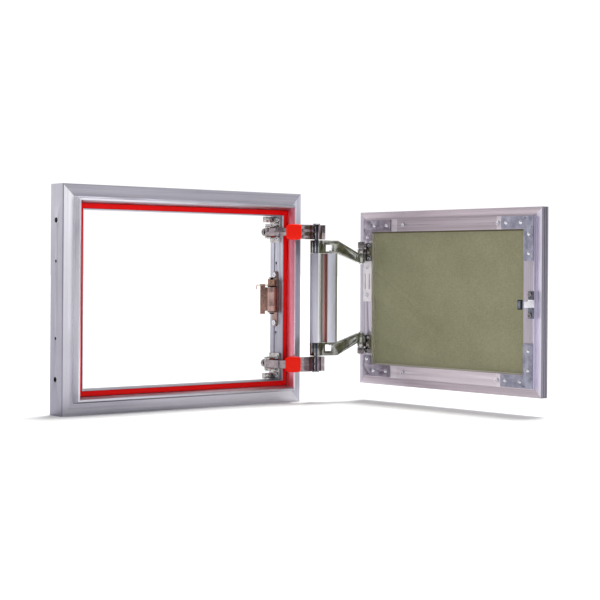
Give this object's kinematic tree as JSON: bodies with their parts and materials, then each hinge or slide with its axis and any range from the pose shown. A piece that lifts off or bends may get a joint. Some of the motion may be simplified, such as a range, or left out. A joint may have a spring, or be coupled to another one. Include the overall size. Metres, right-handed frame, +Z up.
{
  "type": "tile access panel",
  "caption": "Concealed tile access hatch: aluminium frame with red seal, door leaf with green board on folding three-axis hinges, sprung latches.",
  "frame": {"origin": "centre of the frame's underside, at the middle of its depth and width", "axes": "+X to the hinge side, seen from the tiled front; -Y out of the wall towards the room; +Z up"},
  "size_m": [0.5031, 0.4169, 0.3],
  "materials": {
    "frame_aluminium": "mill finish, drawn along its length",
    "cast_key": "rough cast",
    "seal_rubber": "soft matte red",
    "sleeve_rubber": "soft orange red",
    "hinge_zinc": "zinc plated with an olive tint",
    "knurled_steel": "knurled",
    "bright_steel": "bright zinc",
    "latch_bronze": "dull bronze brown",
    "spring_steel": "yellow passivated wire",
    "door_aluminium": "mill finish, drawn along its length",
    "plasterboard": "green paper face, matte",
    "dark_plate": "zinc plated",
    "blue_plate": "blue zinc plated",
    "white_plate": "white powder coat",
    "white_nylon": "smooth nylon"
  },
  "bodies": {
    "frame": {"frame_top_rail": "frame_aluminium", "frame_bottom_rail": "frame_aluminium", "frame_left_jamb": "frame_aluminium", "frame_right_jamb": "frame_aluminium", "frame_corner_keys": "cast_key", "seal_top": "seal_rubber", "seal_bottom": "seal_rubber", "seal_left": "seal_rubber", "seal_right": "seal_rubber", "upper_frame_bracket": "hinge_zinc", "lower_frame_bracket": "hinge_zinc", "upper_frame_adjuster": "knurled_steel", "lower_frame_adjuster": "knurled_steel", "frame_hinge_pins": "bright_steel", "frame_bracket_screws": "bright_steel", "hinge_latch_housing": "latch_bronze", "hinge_latch_pin": "bright_steel", "hinge_latch_spring": "spring_steel", "hinge_latch_screws": "bright_steel", "lock_latch_housing": "latch_bronze", "lock_latch_pins": "bright_steel", "lock_latch_springs": "spring_steel", "lock_latch_screws": "bright_steel"},
    "hinge_catch": {"hinge_latch_catch": "latch_bronze"},
    "upper_jaw_body": {"upper_jaw": "latch_bronze"},
    "lower_jaw_body": {"lower_jaw": "latch_bronze"},
    "frame_arms": {"upper_frame_arm": "hinge_zinc", "lower_frame_arm": "hinge_zinc", "upper_arm_sleeve": "sleeve_rubber", "lower_arm_sleeve": "sleeve_rubber"},
    "door_arms": {"upper_door_arm": "hinge_zinc", "lower_door_arm": "hinge_zinc", "tie_profile": "frame_aluminium", "knuckle_pins": "bright_steel", "tie_screws": "bright_steel"},
    "door": {"door_top_rail": "door_aluminium", "door_bottom_rail": "door_aluminium", "door_hinge_stile": "door_aluminium", "door_lock_stile": "door_aluminium", "door_board": "plasterboard", "upper_hinge_corner_plate": "dark_plate", "lower_hinge_corner_plate": "dark_plate", "upper_lock_corner_plate": "blue_plate", "lower_lock_corner_plate": "blue_plate", "corner_rivets": "bright_steel", "board_screws": "bright_steel", "upper_door_bracket": "hinge_zinc", "lower_door_bracket": "hinge_zinc", "upper_door_adjuster": "knurled_steel", "lower_door_adjuster": "knurled_steel", "door_hinge_pins": "bright_steel", "door_bracket_screws": "bright_steel", "strike_plate": "white_plate", "strike_plate_screws": "bright_steel", "striker_plate": "blue_plate", "striker_block": "white_nylon", "striker_screws": "bright_steel"}
  },
  "joints": [
    {"name": "frame_arm_fold", "type": "hinge", "parent": "frame", "child": "frame_arms", "pos_m": [0.155, 0.0032, 0.15], "axis": [0, 0, -1], "range_deg": [0, 143.33]},
    {"name": "door_arm_fold", "type": "hinge", "parent": "frame_arms", "child": "door_arms", "pos_m": [0.20831, -0.03982, 0.15], "axis": [0, 0, -1], "range_deg": [-152.79, 0]},
    {"name": "door_turn", "type": "hinge", "parent": "door_arms", "child": "door", "pos_m": [0.27869, -0.05881, 0.15], "axis": [0, 0, -1], "range_deg": [0, 99.49]},
    {"name": "hinge_catch_swing", "type": "hinge", "parent": "frame", "child": "hinge_catch", "pos_m": [0.1586, 0, 0.147], "axis": [0, 0, -1], "range_deg": [0, 18], "stiffness_Nm_per_rad": 0.08},
    {"name": "upper_jaw_grip", "type": "hinge", "parent": "frame", "child": "upper_jaw_body", "pos_m": [-0.1606, 0.0187, 0.1585], "axis": [1, 0, 0], "range_deg": [0, 9], "stiffness_Nm_per_rad": 0.05},
    {"name": "lower_jaw_grip", "type": "hinge", "parent": "frame", "child": "lower_jaw_body", "pos_m": [-0.1606, 0.0187, 0.1355], "axis": [-1, 0, 0], "range_deg": [0, 9.01], "stiffness_Nm_per_rad": 0.05}
  ],
  "couplings": [
    {"joint": "frame_arm_fold", "follows": "door_arm_fold", "ratio": -0.93799},
    {"joint": "door_turn", "follows": "door_arm_fold", "ratio": -0.65106},
    {"joint": "lower_jaw_grip", "follows": "upper_jaw_grip", "ratio": 1}
  ]
}
